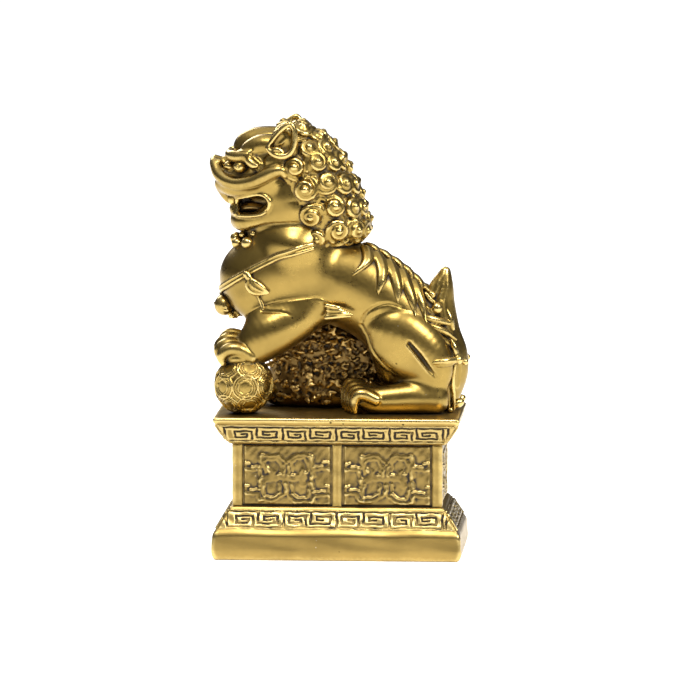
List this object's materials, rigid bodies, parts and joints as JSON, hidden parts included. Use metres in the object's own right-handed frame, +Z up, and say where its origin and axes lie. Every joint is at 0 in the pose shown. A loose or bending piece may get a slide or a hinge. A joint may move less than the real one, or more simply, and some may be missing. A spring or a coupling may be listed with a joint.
{
  "type": "guardian lion statue",
  "caption": "Gilt guardian lion seated on a panelled plinth, forepaw on a patterned ball, mouth open, curled mane, upright tail.",
  "frame": {"origin": "middle of the plinth's underside, where the statue stands", "axes": "+Z up; the lion faces -X along the plinth's length; its left side, with the raised forepaw and the ball, faces -Y"},
  "size_m": [0.0883, 0.05, 0.1481],
  "materials": {
    "gilt_lion": "satin",
    "gilt_plinth": "satin",
    "gilt_shaded": "satin"
  },
  "bodies": {
    "root": {"plinth_foot": "gilt_plinth", "plinth_waist": "gilt_shaded", "plinth_cornice": "gilt_plinth", "corner_posts": "gilt_plinth", "centre_posts": "gilt_plinth", "front_left_panel": "gilt_plinth", "front_right_panel": "gilt_plinth", "back_left_panel": "gilt_plinth", "back_right_panel": "gilt_plinth", "left_end_panel": "gilt_plinth", "right_end_panel": "gilt_plinth", "cornice_fret": "gilt_plinth", "foot_fret": "gilt_plinth", "torso": "gilt_lion", "left_foreleg": "gilt_lion", "right_foreleg": "gilt_lion", "left_hind_leg": "gilt_lion", "right_hind_leg": "gilt_lion", "elbow_tufts": "gilt_lion", "hock_tufts": "gilt_lion", "head": "gilt_lion", "lower_jaw": "gilt_lion", "tongue": "gilt_shaded", "teeth": "gilt_lion", "eyes": "gilt_lion", "brows": "gilt_lion", "nose": "gilt_lion", "ears": "gilt_lion", "moustache_rolls": "gilt_lion", "beard_beads": "gilt_lion", "mane_cap": "gilt_shaded", "mane_curls": "gilt_lion", "spine_tufts": "gilt_lion", "flank_strands": "gilt_lion", "chest_strap": "gilt_lion", "strap_tassels": "gilt_lion", "chest_bell": "gilt_lion", "tail": "gilt_lion", "tail_curls": "gilt_lion", "brocade_ball": "gilt_lion", "rockwork": "gilt_shaded"}
  },
  "joints": []
}
